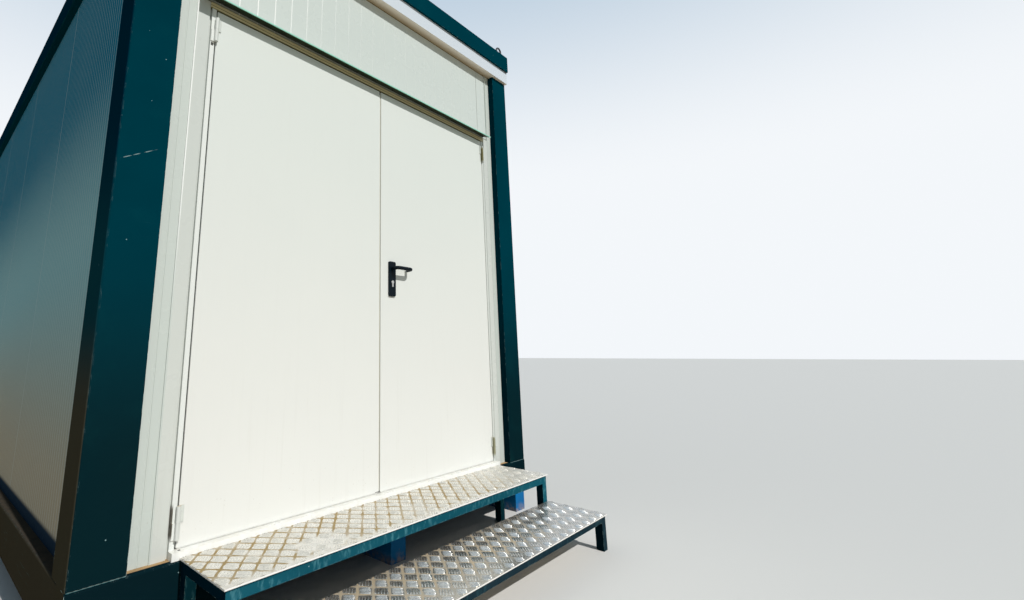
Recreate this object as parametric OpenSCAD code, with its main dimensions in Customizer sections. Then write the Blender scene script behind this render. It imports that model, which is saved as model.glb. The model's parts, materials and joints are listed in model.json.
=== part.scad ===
// Portable site cabin: one steel-framed module with a double door and its two-tier steps.
// Millimetres, +Z up, +Y into the cabin, X across the front. The ground is Z = 0.

/* [Cabin] */
// Width of the cabin across its front
cabin_w = 2438; // [2200:1:3000]
// Length of the cabin from front to back
cabin_l = 6058; // [4000:1:7500]
// Height of the cabin above its support blocks
cabin_h = 2960; // [2600:1:3200]

/* [Steel frame] */
// Face width of a corner post
post_w = 160; // [140:1:200]
// Height of the base rails
base_rail_h = 177; // [140:1:220]
// Height of the roof rails
roof_rail_h = 154; // [120:1:200]
// How far the front and back roof rails stand out over the walls
roof_nose = 33; // [20:1:60]
// Steel thickness of the rails and posts
steel_t = 4; // [3:0.5:6]
// Width of the folded lip of a rail
rail_lip = 22; // [15:1:35]
// Bend radius of the folded steel
bend_r = 8; // [5:0.5:12]

/* [Walls] */
// How far the wall panels lie behind the faces of the frame
panel_recess = 38; // [25:1:50]
// Thickness of a wall panel
wall_t = 60; // [50:1:80]
// Panels in each long wall
side_panels = 5; // [3:1:7]
// Pitch of the fine grooves in a long wall
side_groove_pitch = 34; // [25:1:60]
// Pitch of the fine grooves in the front and back walls
front_groove_pitch = 85.5; // [60:0.5:120]
// Depth of a fine groove
groove_d = 1.5; // [1:0.1:2.5]
// Width of a fine groove at the face
groove_w = 6; // [4:0.5:10]
// Width of a fine groove at its floor
groove_floor = 2; // [1:0.5:3]
// Chamfer along the joints of the panels
joint_chamfer = 3; // [2:0.5:5]

/* [Fascia] */
// Height of the white fascia
fascia_h = 90; // [60:1:100]
// How far the fascia stands in front of the posts
fascia_proud = 20; // [10:1:25]
// Height of the fascia's underside below the roof edge
fascia_drop = 207; // [180:1:230]
// Sheet thickness of the fascia
fascia_t = 2; // [1.5:0.5:3]

/* [Door] */
// Height from the threshold to the head of the door frame
door_h = 2033; // [1900:1:2150]
// Width of the wall strip between the left post and the door frame
strip_left_w = 78.5; // [40:0.5:200]
// Width of the wall strip between the right post and the door frame
strip_right_w = 50.5; // [40:0.5:200]
// Thickness of a door leaf
leaf_t = 40; // [35:1:50]
// Gap around each leaf
leaf_gap = 5; // [5:0.5:8]
// Gap between the two leaves
meeting_gap = 7; // [7:0.5:10]
// Face width of the door frame's edge strip beside a leaf
frame_face = 18; // [14:0.5:30]
// Face height of the door frame's head
head_face = 27; // [20:1:40]
// Width of the flat jamb and the groove beside the edge strip
jamb_flat = 54; // [40:1:70]
// Width of the groove between the flat jamb and the edge strip
groove_gap = 7; // [3:0.5:10]
// How far the jamb and the leaves stand in front of the wall panels
frame_proud = 6; // [4:0.5:10]
// Overlap of the door stop behind a leaf
stop_w = 18; // [12:1:25]
// Height of the threshold above the base rail
threshold_h = 25; // [10:1:30]

/* [Drip flashing] */
// Height of the flashing at the wall above the door frame's head
flashing_rise = 15; // [5:1:25]
// How far the flashing's lip stands in front of the posts
flashing_proud = 27.5; // [5:0.5:40]
// Fall of the flashing from the wall to its lip
flashing_fall = 25; // [10:1:26]
// How far the flashing ends short of the right jamb's outer edge
flashing_short = 40; // [0:1:70]
// Height of the flashing's leg on the wall
flashing_up = 32; // [20:1:50]
// Height of the flashing's lip
flashing_lip = 5.5; // [4:0.5:12]
// Sheet thickness of the flashing
flashing_t = 2.5; // [1.5:0.5:3]

/* [Hinges] */
// Barrel diameter of a lift-off hinge
hinge_d = 16; // [14:0.5:20]
// Pin diameter of a lift-off hinge
hinge_pin_d = 9; // [8:0.5:10]
// Length of a hinge barrel
hinge_len = 105; // [80:1:130]
// Distance from the leaf's foot to the lower hinge
hinge_low = 26; // [10:1:60]
// Distance from the leaf's top to the upper hinge
hinge_high = 38; // [20:1:80]
// Thickness of a hinge flag
flag_t = 4; // [3:0.5:5]

/* [Lock] */
// Height of the lever's spindle above the leaf's foot
lever_h = 1057; // [1000:1:1150]
// Distance from the leaf's meeting edge to the spindle
backset = 76; // [50:1:80]
// Width of the lever's back plate
plate_w = 48; // [35:1:50]
// Height of the lever's back plate
plate_h = 180; // [170:1:230]
// Thickness of the lever's back plate
plate_t = 8; // [6:0.5:10]
// Distance from the spindle down to the key cylinder
key_drop = 72; // [65:1:92]
// Length of the lever from the spindle
lever_l = 115; // [100:1:140]
// Thickness of the lever
lever_d = 19; // [16:0.5:22]
// How far the lever stands out from its back plate
lever_reach = 48; // [42:1:60]
// Bend radius of the lever at its middle line
elbow_r = 18; // [12:1:22]
// Gap between the lever's returned end and the door
lever_end_gap = 9; // [6:1:15]

/* [Steps] */
// How far the steps end inside the hinge edges of the door frame
step_margin = 7.5; // [0:0.5:150]
// Depth of each step
step_depth = 320; // [280:1:360]
// Height of the upper step's tread above the ground
upper_step_z = 295; // [240:1:295]
// Height of the lower step's tread above the ground
lower_step_z = 160; // [120:1:180]
// Thickness of a tread plate
tread_t = 5; // [4:0.5:8]
// Width of the upper step's edge angle
upper_angle = 38; // [30:1:50]
// Width of the lower step's edge angle
lower_angle = 28; // [25:1:45]
// Steel thickness of the step frames
angle_t = 4; // [3:0.5:6]
// Side of a square leg
leg_w = 38; // [30:1:50]
// How far the tread reaches past its frame
tread_lap = 8; // [4:1:15]

/* [Support blocks] */
// Height of a support block
block_h = 110; // [60:1:150]
// Width of a support block along the rail
block_w = 95; // [80:1:150]
// Depth of a support block across the rail
block_d = 200; // [120:1:250]
// How far a block stands in from the faces of the frame
block_inset = 10; // [2:1:40]
// Distance of the middle blocks from the cabin's middle
block_shift = 115; // [0:1:250]

/* [Floor and roof] */
// Thickness of the floor board
deck_t = 22; // [18:1:28]
// Thickness of the insulated floor tray
pan_t = 60; // [40:1:80]
// Height of a floor joist
joist_h = 100; // [60:1:110]
// Flange width of a floor joist
joist_w = 50; // [40:1:60]
// Number of floor joists
joists = 9; // [5:1:11]
// Thickness of the insulated ceiling
ceiling_t = 90; // [60:1:100]
// Height of the roof sheet's ribs
roof_rib_h = 30; // [18:1:35]
// Pitch of the roof sheet's ribs
roof_rib_pitch = 250; // [180:1:350]
// Thickness of the roof sheet
roof_sheet_t = 2; // [1.5:0.5:3]
// Bar diameter of a lifting eye
eye_bar = 12; // [10:1:18]
// Inner radius of a lifting eye
eye_r = 20; // [16:1:30]
// Straight height of a lifting eye under its bend
eye_leg = 22; // [4:1:30]

/* [Hidden] */
$fn = 48;
bend_steps = 4;

wall_in = panel_recess + wall_t;
x_out = cabin_w / 2;
x_in = x_out - wall_in;
step_reach = 2 * step_depth - tread_lap;
y_front = (step_reach - cabin_l - roof_nose) / 2;
y_back = y_front + cabin_l;
z_base = block_h;
z_rail = z_base + base_rail_h;
z_top = z_base + cabin_h;
z_ring = z_top - roof_rail_h;
z_fascia = z_top - fascia_drop;
post_h = z_ring - z_rail;

front_run = cabin_w - 2 * post_w;
side_run = cabin_l - 2 * post_w;
side_panel_w = side_run / side_panels;

jamb_w = jamb_flat + frame_face;
door_w = front_run - strip_left_w - strip_right_w - 2 * jamb_w;
door_shift = (strip_left_w - strip_right_w) / 2;
step_w = door_w - 2 * step_margin;
z_sill = z_rail + threshold_h;
z_head = z_sill + door_h;
door_x0 = door_shift - door_w / 2;
door_x1 = door_shift + door_w / 2;
leaf_w = (door_w - 2 * leaf_gap - meeting_gap) / 2;
leaf_h = door_h - 2 * leaf_gap;
leaf_z = z_sill + leaf_gap;
frame_y = y_front + panel_recess - frame_proud;
stop_y = leaf_t + leaf_gap;
frame_d = wall_t + frame_proud;
groove_back = 12;
jamb_set = 3;
sill_set = 1;
over_joint = 26.5;

hinge_gap = 1;
flag_edge = 1;
flag_w = frame_face + leaf_gap / 2 - flag_edge;
pin_clearance = 0.1;
knuckle_gap = 0.4;
pivot_y = frame_y - hinge_d / 2 - hinge_gap;
pivot_x0 = door_x0 + leaf_gap / 2;
pivot_x1 = door_x1 - leaf_gap / 2;
knuckle_h = (hinge_len - knuckle_gap) / 2;
hinge_zs = [leaf_z + hinge_low, leaf_z + leaf_h - hinge_high - hinge_len];

spindle_x = door_x1 - leaf_gap - leaf_w + backset;
spindle_z = leaf_z + lever_h;
spindle_side = 9;
spindle_clearance = 0.5;
plate_above = 35;
cylinder_r = 8.5;
cylinder_tail = 10;
cylinder_tail_h = 33;
cylinder_proud = 3;
plate_corner = 8;
pin_short = 4;
lever_end_chamfer = 1.5;
eye_edge = 84;
eye_in = -15;
bead_w = 5;
bead_h = 4;
bearers = 2;
rib_foot = 0.30;
rib_crown = 0.40;

// Colours
teal = [0.02, 0.25, 0.30];
panel_white = [0.90, 0.91, 0.89];
board_brown = [0.52, 0.45, 0.36];
zinc_grey = [0.66, 0.68, 0.69];
block_blue = [0.02, 0.34, 0.62];
black_plastic = [0.06, 0.06, 0.07];
tread_metal = [0.78, 0.78, 0.75];

// Points of a quarter bend about c, from angle a to angle a + 90
function bend(c, r, a) = [for (i = [0 : bend_steps])
    [c[0] + r * cos(a + 90 * i / bend_steps), c[1] + r * sin(a + 90 * i / bend_steps)]];

// Points of a rectangle with its two corners on the web side bent
function folded_box(x0, y0, x1, y1, r) = concat([[x1, y0], [x1, y1]],
    bend([x0 + r, y1 - r], r, 90), bend([x0 + r, y0 + r], r, 180));

// Points of a rectangle about the middle with round corners
function round_box(w, h, r) = concat(
    bend([w / 2 - r, h / 2 - r], r, 0), bend([r - w / 2, h / 2 - r], r, 90),
    bend([r - w / 2, r - h / 2], r, 180), bend([w / 2 - r, r - h / 2], r, 270));

// Places a piece drawn from the outer left front corner at one of the four corners
module at_corner(right, back) {
    mirror([right, 0, 0])
        translate([-x_out, back == 1 ? y_back : y_front, 0])
            mirror([0, back, 0]) children();
}

// Turns a piece drawn for the front round to the back
module at_end(back) {
    translate([0, back == 1 ? y_back : y_front, 0])
        mirror([0, back, 0]) children();
}

// Runs a profile drawn in (y, z) along x from x0
module run_x(x0, len) {
    translate([x0, 0, 0]) rotate([90, 0, 90]) linear_extrude(height = len) children();
}

// Runs a profile drawn in (depth, z) between the end rails, its web on the outer face
module run_side(right) {
    mirror([right, 0, 0])
        translate([-x_out, y_back - wall_in, 0])
            rotate([90, 0, 0]) linear_extrude(height = cabin_l - 2 * wall_in) children();
}

// Folded channel, web at 0, open towards the inside of the cabin
module channel_outline(height) {
    difference() {
        polygon(folded_box(0, 0, wall_in, height, bend_r));
        polygon(folded_box(steel_t, steel_t, wall_in - steel_t, height - steel_t, bend_r - steel_t));
        translate([wall_in - 2 * steel_t, rail_lip])
            square([3 * steel_t, height - 2 * rail_lip]);
    }
}

// Roof rail's channel with the nose that stands out over the fascia
module nose_outline() {
    nose_z = z_fascia + fascia_h - z_ring;
    difference() {
        union() {
            polygon(folded_box(0, 0, wall_in, roof_rail_h, bend_r));
            translate([-roof_nose, nose_z]) square([roof_nose + bend_r, roof_rail_h - nose_z]);
        }
        polygon(folded_box(steel_t, steel_t, wall_in - steel_t, roof_rail_h - steel_t,
            bend_r - steel_t));
        translate([steel_t - roof_nose, nose_z + steel_t])
            square([roof_nose + bend_r, roof_rail_h - nose_z - 2 * steel_t]);
        translate([wall_in - 2 * steel_t, rail_lip])
            square([3 * steel_t, roof_rail_h - 2 * rail_lip]);
    }
}

module end_base_rail(back) {
    color(teal) at_end(back) translate([0, 0, z_base]) {
        run_x(-x_out, cabin_w) channel_outline(base_rail_h);
        run_x(-x_out, steel_t) polygon(folded_box(0, 0, wall_in, base_rail_h, bend_r));
        run_x(x_out - steel_t, steel_t) polygon(folded_box(0, 0, wall_in, base_rail_h, bend_r));
    }
}

module side_base_rail(right) {
    color(teal) translate([0, 0, z_base]) run_side(right) channel_outline(base_rail_h);
}

module roof_end_plate(x) {
    nose_z = z_fascia + fascia_h - z_ring;
    run_x(x, steel_t) {
        polygon(folded_box(0, 0, wall_in, roof_rail_h, bend_r));
        translate([-roof_nose, nose_z]) square([roof_nose + bend_r, roof_rail_h - nose_z]);
    }
}

module end_roof_rail(back) {
    color(teal) at_end(back) translate([0, 0, z_ring]) {
        run_x(-x_out, cabin_w) nose_outline();
        roof_end_plate(-x_out);
        roof_end_plate(x_out - steel_t);
    }
}

module side_roof_rail(right) {
    color(teal) translate([0, 0, z_ring]) run_side(right) channel_outline(roof_rail_h);
}

// Folded corner post: an L of closed section whose arms hold the ends of the walls
function post_points(t, r) = concat(
    [[post_w - t, t], [post_w - t, wall_in - t], [wall_in - t, wall_in - t],
        [wall_in - t, post_w - t], [t, post_w - t]],
    bend([bend_r, bend_r], r, 180));

module corner_post(right, back) {
    color(teal) at_corner(right, back) translate([0, 0, z_rail])
        linear_extrude(height = post_h) difference() {
            polygon(post_points(0, bend_r));
            polygon(post_points(steel_t, bend_r - steel_t));
        }
}

// Grooved face of a wall board of width w, its first groove at first from the left edge
function groove_points(x) = [[x - groove_w / 2, 0], [x - groove_floor / 2, groove_d],
    [x + groove_floor / 2, groove_d], [x + groove_w / 2, 0]];
groove_margin = joint_chamfer + groove_w;
function centred(w, pitch) = (w - floor((w - 2 * groove_margin) / pitch) * pitch) / 2;
function board_points(w, pitch, first) =
    let (n = floor((w - first - groove_margin) / pitch))
    concat([[0, wall_t], [0, joint_chamfer], [joint_chamfer, 0]],
        [for (i = [0 : n]) for (p = groove_points(first + i * pitch)) p],
        [[w - joint_chamfer, 0], [w, joint_chamfer], [w, wall_t]]);

module side_wall_panel(right, i) {
    color(panel_white) mirror([right, 0, 0])
        translate([panel_recess - x_out, y_front + post_w + (i + 1) * side_panel_w, z_rail])
            rotate([0, 0, -90])
                linear_extrude(height = post_h)
                    polygon(board_points(side_panel_w, side_groove_pitch,
                        centred(side_panel_w, side_groove_pitch)));
}

module end_wall_board(w) {
    linear_extrude(height = post_h)
        polygon(board_points(w, front_groove_pitch, centred(w, front_groove_pitch)));
}

module back_wall_panel(i) {
    color(panel_white) at_end(1)
        translate([i * front_run / 2 - front_run / 2, panel_recess, z_rail])
            end_wall_board(front_run / 2);
}

// Narrow wall strip between a post and the jamb, with a raised bead at the jamb
module front_wall_strip(right) {
    post_x = x_out - post_w;
    w = right == 1 ? strip_right_w : strip_left_w;
    color(panel_white) mirror([right, 0, 0]) translate([-post_x, y_front, z_rail]) {
        translate([0, panel_recess, 0]) {
            end_wall_board(w);
            translate([w - bead_w, -bead_h, 0]) cube([bead_w, 2 * bead_h, z_fascia - z_rail]);
        }
    }
}

// Wall over the door, with a joint over the right edge of the doorway
module over_door_panel() {
    w = door_w + 2 * jamb_w;
    z0 = z_head + head_face;
    c = joint_chamfer;
    color(panel_white) translate([door_x0 - jamb_w, y_front + panel_recess, z0])
        linear_extrude(height = z_ring - z0) difference() {
            polygon(board_points(w, front_groove_pitch, front_groove_pitch));
            translate([w - jamb_w - over_joint, 0]) polygon([[-c, -c], [c, -c], [0, c]]);
        }
}

// Folded white fascia in front of the post tops, open at its back
module fascia(back) {
    color(panel_white) at_end(back) translate([0, -fascia_proud, z_fascia]) {
        translate([-x_out, 0, 0]) cube([cabin_w, fascia_t, fascia_h]);
        translate([-x_out, 0, 0]) cube([cabin_w, fascia_proud, fascia_t]);
        translate([-x_out, 0, fascia_h - fascia_t]) cube([cabin_w, fascia_proud, fascia_t]);
        translate([post_w - x_out, 0, 0])
            cube([front_run, fascia_proud + panel_recess, fascia_t]);
        for (x = [-x_out, x_out - fascia_t])
            translate([x, 0, 0]) cube([fascia_t, fascia_proud, fascia_h]);
    }
}

// Steel door frame: a flat jamb, a groove, the edge strip and the stop behind the leaf
module jamb_outline() {
    polygon([[0, jamb_set], [jamb_flat - groove_gap, jamb_set],
        [jamb_flat - groove_gap, groove_back], [jamb_flat, groove_back], [jamb_flat, 0],
        [jamb_w, 0], [jamb_w, stop_y], [jamb_w + stop_w, stop_y],
        [jamb_w + stop_w, frame_d], [0, frame_d]]);
}

module door_jamb(right) {
    edge_x = right == 1 ? door_x1 + jamb_w : jamb_w - door_x0;
    color(panel_white) mirror([right, 0, 0]) translate([-edge_x, frame_y, z_rail]) {
        linear_extrude(height = z_head - z_rail) jamb_outline();
        translate([0, jamb_set, 0])
            cube([jamb_flat - groove_gap, frame_d - jamb_set, z_head + head_face - z_rail]);
    }
}

module door_head() {
    color(panel_white) translate([0, frame_y, z_head]) {
        translate([door_x0 - frame_face - groove_gap, 0, 0])
            cube([door_w + 2 * frame_face + 2 * groove_gap, frame_d, head_face]);
        translate([door_x0 + stop_w, stop_y, -stop_w])
            cube([door_w - 2 * stop_w, frame_d - stop_y, stop_w + head_face]);
    }
}

// Threshold with a lip that runs forward over the rail's ledge
module door_threshold() {
    lip = panel_recess - frame_proud - sill_set;
    color(panel_white) translate([0, frame_y, z_rail]) {
        translate([door_x0 - frame_face, -lip, 0])
            cube([door_w + 2 * frame_face, lip, threshold_h]);
        translate([door_x0, 0, 0]) cube([door_w, stop_y, threshold_h]);
        translate([door_x0 + stop_w, 0, 0])
            cube([door_w - 2 * stop_w, frame_d, threshold_h]);
    }
}

// Folded drip flashing over the door, from the wall down to a lip in front of the posts
module drip_flashing() {
    run = panel_recess + flashing_proud;
    t = flashing_t;
    fall = flashing_fall;
    up = fall + flashing_up;
    color(panel_white)
        translate([0, y_front - flashing_proud, z_head + head_face + flashing_rise - fall])
            run_x(door_x0 - jamb_w, door_w + 2 * jamb_w - flashing_short)
                polygon([[0, 0], [t, 0], [t, flashing_lip - t], [run, fall], [run, up],
                    [run - t, up], [run - t, fall + t], [0, flashing_lip]]);
}

// Door leaf drawn from its hinge edge, its outer face at y = 0
module leaf_outline() {
    c = joint_chamfer / 2;
    polygon([[c, 0], [leaf_w - c, 0], [leaf_w, c], [leaf_w, leaf_t - c], [leaf_w - c, leaf_t],
        [c, leaf_t], [0, leaf_t - c], [0, c]]);
}

module spindle_hole() {
    r = spindle_side * sqrt(2) / 2 + spindle_clearance;
    rotate([-90, 0, 0]) translate([0, 0, -leaf_t]) cylinder(r = r, h = 3 * leaf_t);
}

module door_leaf_left() {
    color(panel_white) translate([door_x0 + leaf_gap, frame_y, leaf_z])
        linear_extrude(height = leaf_h) leaf_outline();
}

module door_leaf_right() {
    color(panel_white) difference() {
        translate([door_x1 - leaf_gap - leaf_w, frame_y, leaf_z])
            linear_extrude(height = leaf_h) leaf_outline();
        translate([spindle_x, frame_y, spindle_z]) spindle_hole();
    }
}

// Lower half of a lift-off hinge, on the frame: knuckle, pin and flag towards -x
module frame_hinge_half() {
    cylinder(d = hinge_d, h = knuckle_h);
    cylinder(d = hinge_pin_d, h = hinge_len - 2 * pin_short);
    translate([-flag_w, hinge_d / 2 + hinge_gap - flag_t, 0]) cube([flag_w, flag_t, knuckle_h]);
}

// Upper half, on the leaf: bored knuckle that drops over the pin, and flag towards +x
module leaf_hinge_half() {
    z0 = knuckle_h + knuckle_gap;
    difference() {
        union() {
            translate([0, 0, z0]) cylinder(d = hinge_d, h = knuckle_h);
            translate([0, hinge_d / 2 + hinge_gap - flag_t, z0]) cube([flag_w, flag_t, knuckle_h]);
        }
        cylinder(d = hinge_pin_d + 2 * pin_clearance, h = hinge_len - pin_short);
    }
}

module frame_hinge_halves() {
    color(panel_white) for (z = hinge_zs) {
        translate([pivot_x0, pivot_y, z]) frame_hinge_half();
        translate([pivot_x1, pivot_y, z]) mirror([1, 0, 0]) frame_hinge_half();
    }
}

module left_leaf_hinge_halves() {
    color(panel_white) for (z = hinge_zs)
        translate([pivot_x0, pivot_y, z]) leaf_hinge_half();
}

module right_leaf_hinge_halves() {
    color(panel_white) for (z = hinge_zs)
        translate([pivot_x1, pivot_y, z]) mirror([1, 0, 0]) leaf_hinge_half();
}

// Draws lock furniture on both faces of the leaf: outwards at y = 0 towards -y
module both_faces() {
    translate([spindle_x, frame_y, spindle_z]) children();
    translate([spindle_x, frame_y + leaf_t, spindle_z]) mirror([0, 1, 0]) children();
}

module lever_back_plates() {
    color(black_plastic) both_faces() difference() {
        translate([0, 0, plate_above - plate_h / 2]) rotate([90, 0, 0])
            linear_extrude(height = plate_t) polygon(round_box(plate_w, plate_h, plate_corner));
        spindle_hole();
    }
}

module key_cylinder() {
    color(zinc_grey) both_faces() translate([0, -plate_t, -key_drop]) rotate([90, 0, 0])
        linear_extrude(height = cylinder_proud) {
            circle(r = cylinder_r);
            translate([-cylinder_tail / 2, -cylinder_tail_h + cylinder_r])
                square([cylinder_tail, cylinder_tail_h - cylinder_r]);
        }
}

// Quarter of a round bar bent in the (x, y) plane, from -y at the origin round to +x
module lever_elbow() {
    translate([elbow_r, 0, 0]) rotate([0, 0, 180]) rotate_extrude(angle = 90)
        translate([elbow_r, 0]) circle(d = lever_d);
}

// One lever: a neck out from the plate, a grip along +x and an end returned to the door
module lever() {
    face = plate_t + knuckle_gap;
    bend_y = face + lever_reach - lever_d / 2 - elbow_r;
    end_x = lever_l - lever_d / 2;
    translate([0, -face, 0]) rotate([90, 0, 0]) cylinder(d = lever_d, h = bend_y - face);
    translate([0, -bend_y, 0]) lever_elbow();
    translate([elbow_r, -bend_y - elbow_r, 0]) rotate([0, 90, 0])
        cylinder(d = lever_d, h = end_x - 2 * elbow_r);
    translate([end_x, -bend_y, 0]) mirror([1, 0, 0]) lever_elbow();
    translate([end_x, -bend_y, 0]) rotate([-90, 0, 0]) {
        leg = bend_y - lever_end_gap - lever_end_chamfer;
        cylinder(d = lever_d, h = leg);
        translate([0, 0, leg]) cylinder(d1 = lever_d, d2 = lever_d - 2 * lever_end_chamfer,
            h = lever_end_chamfer);
    }
}

module lever_handle() {
    reach = leaf_t + 2 * (plate_t + knuckle_gap);
    color(black_plastic) {
        both_faces() lever();
        translate([spindle_x, frame_y + leaf_t / 2, spindle_z])
            cube([spindle_side, reach + lever_d, spindle_side], center = true);
    }
}

// Open step frame: an edge angle all round, two bearers and four square legs
module step_frame(z_tread, y0, edge) {
    w = step_w - 2 * tread_lap;
    d = step_depth - tread_lap;
    z = z_tread - tread_t;
    x0 = door_shift - w / 2;
    color(teal) {
        translate([x0, y0, z - edge]) difference() {
            cube([w, d, edge]);
            translate([angle_t, angle_t, -angle_t])
                cube([w - 2 * angle_t, d - 2 * angle_t, edge]);
            translate([edge, edge, 0]) cube([w - 2 * edge, d - 2 * edge, 2 * edge]);
        }
        for (i = [1 : bearers])
            translate([x0 + i * w / (bearers + 1) - angle_t / 2, y0 + angle_t / 2, z - edge])
                cube([angle_t, d - angle_t, edge]);
        for (x = [x0, x0 + w - leg_w])
            for (y = [y0, y0 + d - leg_w])
                translate([x, y, 0]) cube([leg_w, leg_w, z]);
    }
}

module step_tread(z_tread, y0, depth) {
    color(tread_metal) translate([door_shift - step_w / 2, y0, z_tread - tread_t])
        cube([step_w, depth, tread_t]);
}

module support_blocks() {
    mid_y = (y_front + y_back - block_d) / 2;
    corner_x = x_out - block_inset - block_w;
    color(block_blue) {
        for (back = [0, 1]) at_end(back) {
            for (x = [-x_out + block_inset, block_shift - block_w / 2, corner_x])
                translate([x, block_inset, 0]) cube([block_w, block_d, block_h]);
        }
        for (x = [-x_out + block_inset, corner_x])
            translate([x, mid_y, 0]) cube([block_w, block_d, block_h]);
    }
}

// Floor joists: folded channels across the cabin between the side rails
module floor_joists() {
    y0 = y_front + wall_in;
    run = cabin_l - 2 * wall_in - joist_w;
    z0 = z_sill - deck_t - pan_t - joist_h;
    t = steel_t;
    color(zinc_grey) for (i = [1 : joists])
        translate([-x_in, y0 + i * run / (joists + 1), z0]) run_x(0, 2 * x_in)
            polygon([[0, 0], [joist_w, 0], [joist_w, t], [t, t], [t, joist_h - t],
                [joist_w, joist_h - t], [joist_w, joist_h], [0, joist_h]]);
}

module inner_slab(z, t) {
    translate([-x_in, y_front + wall_in, z]) cube([2 * x_in, cabin_l - 2 * wall_in, t]);
}

module floor_tray() {
    color(zinc_grey) inner_slab(z_sill - deck_t - pan_t, pan_t);
}

module floor_board() {
    color(board_brown) inner_slab(z_sill - deck_t, deck_t);
}

module ceiling() {
    color(panel_white) inner_slab(z_ring, ceiling_t);
}

// Ribbed roof sheet: one folded line, raised by the sheet's thickness for its upper face
function rib_line(n, pitch, z) = [for (i = [0 : n - 1])
    for (p = [[rib_foot, 0], [rib_crown, roof_rib_h], [1 - rib_crown, roof_rib_h], [1 - rib_foot, 0]])
        [(i + p[0]) * pitch, z + p[1]]];
module roof_sheet() {
    run = cabin_l - 2 * wall_in;
    n = round(run / roof_rib_pitch);
    pitch = run / n;
    low = rib_line(n, pitch, 0);
    high = rib_line(n, pitch, roof_sheet_t);
    color(zinc_grey) translate([0, y_front + wall_in, z_ring + ceiling_t]) run_x(-x_in, 2 * x_in)
        polygon(concat([[0, 0]], low, [[run, 0], [run, roof_sheet_t]],
            [for (i = [len(high) - 1 : -1 : 0]) high[i]], [[0, roof_sheet_t]]));
}

module lifting_eye() {
    r = eye_r + eye_bar / 2;
    translate([0, 0, eye_leg]) rotate([90, 0, 0])
        rotate_extrude(angle = 180) translate([r, 0]) circle(d = eye_bar);
    for (x = [-r, r])
        translate([x, 0, 0]) cylinder(d = eye_bar, h = eye_leg);
}

module lifting_eyes() {
    color(black_plastic) for (right = [0, 1])
        for (back = [0, 1])
            at_corner(right, back) translate([eye_edge, eye_in, z_top]) lifting_eye();
}

end_base_rail(0);  // base_rail_front
end_base_rail(1);  // base_rail_back
side_base_rail(0);  // base_rail_left
side_base_rail(1);  // base_rail_right
corner_post(0, 0);  // post_front_left
corner_post(1, 0);  // post_front_right
corner_post(0, 1);  // post_back_left
corner_post(1, 1);  // post_back_right
end_roof_rail(0);  // roof_rail_front
end_roof_rail(1);  // roof_rail_back
side_roof_rail(0);  // roof_rail_left
side_roof_rail(1);  // roof_rail_right
floor_joists();
floor_tray();
floor_board();
ceiling();
roof_sheet();
fascia(0);  // fascia_front
fascia(1);  // fascia_back
side_wall_panel(0, 0);  // left_wall_panel_1
side_wall_panel(0, 1);  // left_wall_panel_2
side_wall_panel(0, 2);  // left_wall_panel_3
side_wall_panel(0, 3);  // left_wall_panel_4
side_wall_panel(0, 4);  // left_wall_panel_5
side_wall_panel(1, 0);  // right_wall_panel_1
side_wall_panel(1, 1);  // right_wall_panel_2
side_wall_panel(1, 2);  // right_wall_panel_3
side_wall_panel(1, 3);  // right_wall_panel_4
side_wall_panel(1, 4);  // right_wall_panel_5
back_wall_panel(0);  // back_wall_panel_left
back_wall_panel(1);  // back_wall_panel_right
front_wall_strip(0);  // front_wall_strip_left
front_wall_strip(1);  // front_wall_strip_right
over_door_panel();
door_jamb(0);  // door_jamb_left
door_jamb(1);  // door_jamb_right
door_head();
door_threshold();
drip_flashing();
door_leaf_left();
door_leaf_right();
frame_hinge_halves();
left_leaf_hinge_halves();
right_leaf_hinge_halves();
lever_back_plates();
lever_handle();
key_cylinder();
step_frame(upper_step_z, y_front - step_depth + tread_lap, upper_angle);  // upper_step_frame
step_tread(upper_step_z, y_front - step_depth, step_depth);  // upper_step_tread
step_frame(lower_step_z, y_front - 2 * step_depth + 2 * tread_lap, lower_angle);  // lower_step_frame
step_tread(lower_step_z, y_front - 2 * step_depth + tread_lap, step_depth);  // lower_step_tread
support_blocks();
lifting_eyes();
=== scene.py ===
import json
import math
import random

import bmesh
import bpy
from mathutils import Matrix, Vector


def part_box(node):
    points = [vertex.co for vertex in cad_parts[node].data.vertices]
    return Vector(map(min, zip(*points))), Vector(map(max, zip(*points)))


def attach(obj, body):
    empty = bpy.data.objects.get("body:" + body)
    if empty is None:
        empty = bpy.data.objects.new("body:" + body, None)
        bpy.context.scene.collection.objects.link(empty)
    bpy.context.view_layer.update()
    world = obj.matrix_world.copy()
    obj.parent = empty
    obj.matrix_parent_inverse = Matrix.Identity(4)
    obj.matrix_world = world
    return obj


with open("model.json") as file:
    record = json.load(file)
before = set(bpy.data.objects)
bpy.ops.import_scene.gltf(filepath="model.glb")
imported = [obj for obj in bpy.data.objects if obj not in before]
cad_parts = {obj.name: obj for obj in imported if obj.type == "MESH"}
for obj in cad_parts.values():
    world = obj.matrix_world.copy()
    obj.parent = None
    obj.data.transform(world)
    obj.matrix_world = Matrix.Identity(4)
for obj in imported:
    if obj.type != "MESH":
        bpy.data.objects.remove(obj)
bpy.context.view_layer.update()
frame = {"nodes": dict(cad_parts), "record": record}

SCENE = bpy.context.scene

# The cabin's two ends, from the front of the front posts to the back of the back posts
POST_LOW, POST_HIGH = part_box("post_front_left")
FRONT_Y = POST_LOW.y
BACK_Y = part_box("post_back_left")[1].y
MIDDLE_Y = (FRONT_Y + BACK_Y) / 2
HALF_LENGTH = (BACK_Y - FRONT_Y) / 2


# Nodes of the materials and the light

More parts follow.
